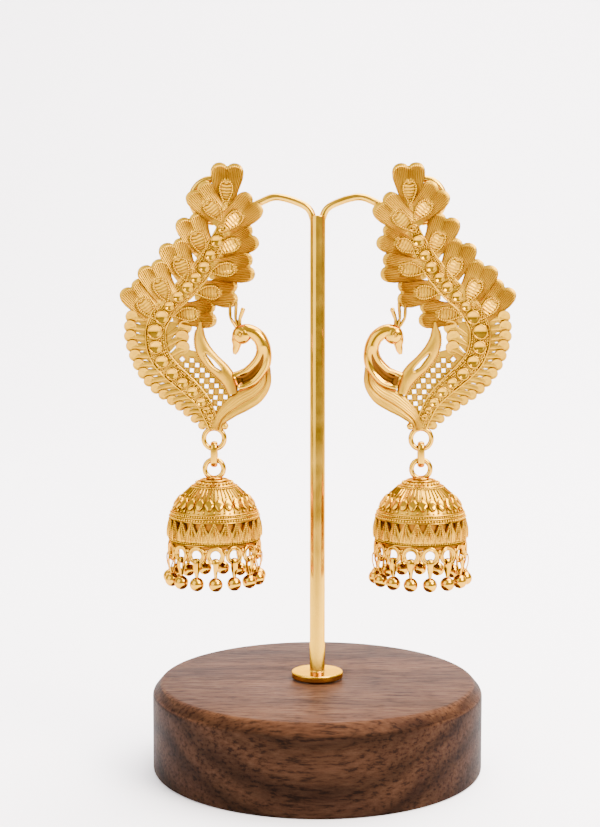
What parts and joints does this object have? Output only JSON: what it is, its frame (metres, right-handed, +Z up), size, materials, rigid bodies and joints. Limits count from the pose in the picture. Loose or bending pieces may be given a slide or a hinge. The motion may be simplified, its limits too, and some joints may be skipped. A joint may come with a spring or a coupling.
{
  "type": "pair of jhumka earrings on a stand",
  "caption": "Mirror pair of gold peacock jhumka earrings with pierced leaf plates and swinging bells, hung on a brass rod stand with a round walnut base.",
  "frame": {"origin": "centre of the walnut base's underside", "axes": "+Z up along the pole, -Y towards the viewer, X along the two arms"},
  "size_m": [0.076, 0.065, 0.1183],
  "materials": {
    "walnut": "satin",
    "brass": "polished",
    "gold": "satin"
  },
  "bodies": {
    "stand": {"stand_base": "walnut", "stand_rod": "brass", "plate_left": "gold", "plate_right": "gold", "back_nut_left": "gold", "back_nut_right": "gold"},
    "link_left": {"link_left": "gold"},
    "link_right": {"link_right": "gold"},
    "bell_left": {"bell_left": "gold", "drop_left_01": "gold", "drop_left_02": "gold", "drop_left_03": "gold", "drop_left_04": "gold", "drop_left_05": "gold", "drop_left_06": "gold", "drop_left_07": "gold", "drop_left_08": "gold", "drop_left_09": "gold", "drop_left_10": "gold", "drop_left_11": "gold", "drop_left_12": "gold", "drop_left_13": "gold", "drop_left_14": "gold", "drop_left_15": "gold"},
    "bell_right": {"bell_right": "gold", "drop_right_01": "gold", "drop_right_02": "gold", "drop_right_03": "gold", "drop_right_04": "gold", "drop_right_05": "gold", "drop_right_06": "gold", "drop_right_07": "gold", "drop_right_08": "gold", "drop_right_09": "gold", "drop_right_10": "gold", "drop_right_11": "gold", "drop_right_12": "gold", "drop_right_13": "gold", "drop_right_14": "gold", "drop_right_15": "gold"}
  },
  "joints": [
    {"name": "link_left_swing", "type": "hinge", "parent": "stand", "child": "link_left", "pos_m": [-0.02015, -0.0015, 0.06319], "axis": [1, 0, 0], "range_deg": [-60, 60]},
    {"name": "link_right_swing", "type": "hinge", "parent": "stand", "child": "link_right", "pos_m": [0.02015, -0.0015, 0.06319], "axis": [1, 0, 0], "range_deg": [-60, 60]},
    {"name": "bell_left_swing", "type": "hinge", "parent": "link_left", "child": "bell_left", "pos_m": [-0.02015, -0.0015, 0.05988], "axis": [0, 1, 0], "range_deg": [-20, 45]},
    {"name": "bell_right_swing", "type": "hinge", "parent": "link_right", "child": "bell_right", "pos_m": [0.02015, -0.0015, 0.05988], "axis": [0, 1, 0], "range_deg": [-45, 20]}
  ]
}
